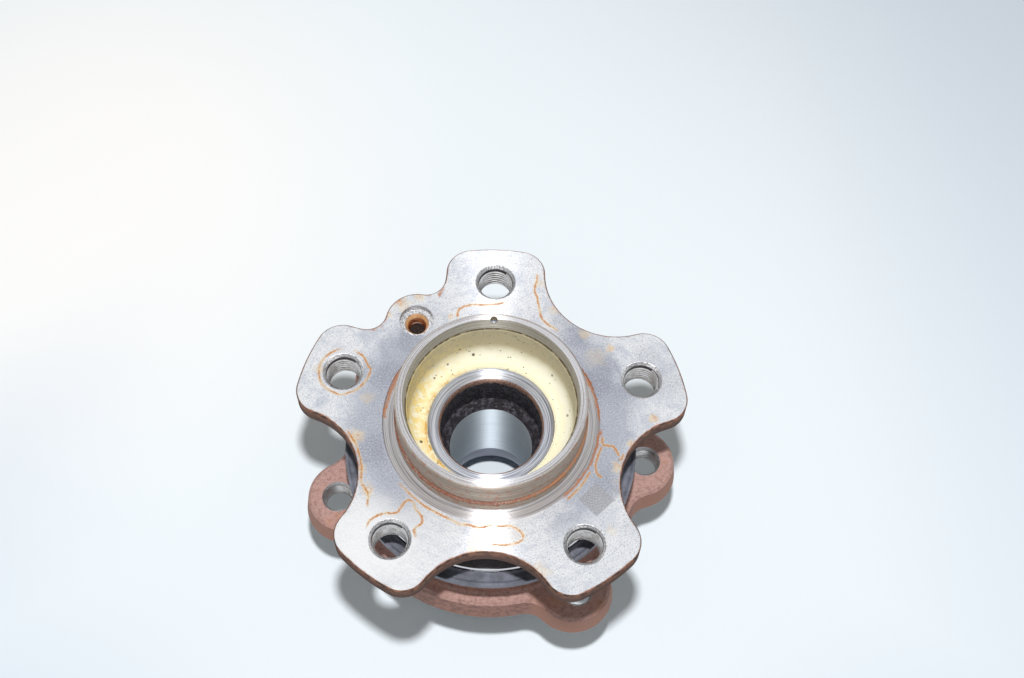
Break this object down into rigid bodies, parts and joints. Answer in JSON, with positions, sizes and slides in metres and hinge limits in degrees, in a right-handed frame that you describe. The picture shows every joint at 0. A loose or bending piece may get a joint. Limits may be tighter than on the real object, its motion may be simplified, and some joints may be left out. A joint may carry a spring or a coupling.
{
  "type": "wheel hub bearing",
  "caption": "Flanged wheel hub bearing: lobed wheel flange with a spigot ring turns in sealed ball rows inside an outer ring with threaded knuckle ears.",
  "frame": {"origin": "on the bearing axis, in the face of the hub flange that the brake disc and wheel seat on", "axes": "+Z out towards the wheel along the bearing axis, +Y through one wheel-bolt hole"},
  "size_m": [0.1397, 0.1338, 0.0975],
  "materials": {
    "hub_steel": "machined, waxed in the bowl, rust-stained",
    "forged_steel": "forged and turned, light red rust",
    "bearing_steel": "ground",
    "ball_steel": "lapped bright",
    "stainless_sheet": "pressed sheet, bright",
    "seal_rubber": "moulded nitrile, dark grey",
    "magnet_rubber": "magnet-filled rubber",
    "cage_plastic": "glass-filled nylon, natural"
  },
  "bodies": {
    "outer_ring": {"outer_ring": "forged_steel", "outboard_seal_case": "stainless_sheet", "outboard_seal_rubber": "seal_rubber", "outboard_seal_lip": "seal_rubber", "inboard_seal_case": "stainless_sheet", "inboard_seal_lip": "seal_rubber"},
    "hub": {"hub_flange": "hub_steel", "inner_ring": "bearing_steel", "outboard_slinger": "stainless_sheet", "inboard_slinger": "stainless_sheet", "encoder_ring": "magnet_rubber"},
    "outboard_row": {"outboard_cage": "cage_plastic", "outboard_ball_01": "ball_steel", "outboard_ball_02": "ball_steel", "outboard_ball_03": "ball_steel", "outboard_ball_04": "ball_steel", "outboard_ball_05": "ball_steel", "outboard_ball_06": "ball_steel", "outboard_ball_07": "ball_steel", "outboard_ball_08": "ball_steel", "outboard_ball_09": "ball_steel", "outboard_ball_10": "ball_steel", "outboard_ball_11": "ball_steel", "outboard_ball_12": "ball_steel", "outboard_ball_13": "ball_steel", "outboard_ball_14": "ball_steel", "outboard_ball_15": "ball_steel"},
    "inboard_row": {"inboard_cage": "cage_plastic", "inboard_ball_01": "ball_steel", "inboard_ball_02": "ball_steel", "inboard_ball_03": "ball_steel", "inboard_ball_04": "ball_steel", "inboard_ball_05": "ball_steel", "inboard_ball_06": "ball_steel", "inboard_ball_07": "ball_steel", "inboard_ball_08": "ball_steel", "inboard_ball_09": "ball_steel", "inboard_ball_10": "ball_steel", "inboard_ball_11": "ball_steel", "inboard_ball_12": "ball_steel", "inboard_ball_13": "ball_steel"}
  },
  "joints": [
    {"name": "hub_spin", "type": "hinge", "parent": "outer_ring", "child": "hub", "pos_m": [0, 0, 0], "axis": [0, 0, 1], "continuous": true},
    {"name": "outboard_row_spin", "type": "hinge", "parent": "outer_ring", "child": "outboard_row", "pos_m": [0, 0, -0.0385], "axis": [0, 0, 1], "continuous": true},
    {"name": "inboard_row_spin", "type": "hinge", "parent": "outer_ring", "child": "inboard_row", "pos_m": [0, 0, -0.06], "axis": [0, 0, 1], "continuous": true}
  ],
  "couplings": [
    {"joint": "outboard_row_spin", "follows": "hub_spin", "ratio": 0.434},
    {"joint": "inboard_row_spin", "follows": "hub_spin", "ratio": 0.426}
  ]
}
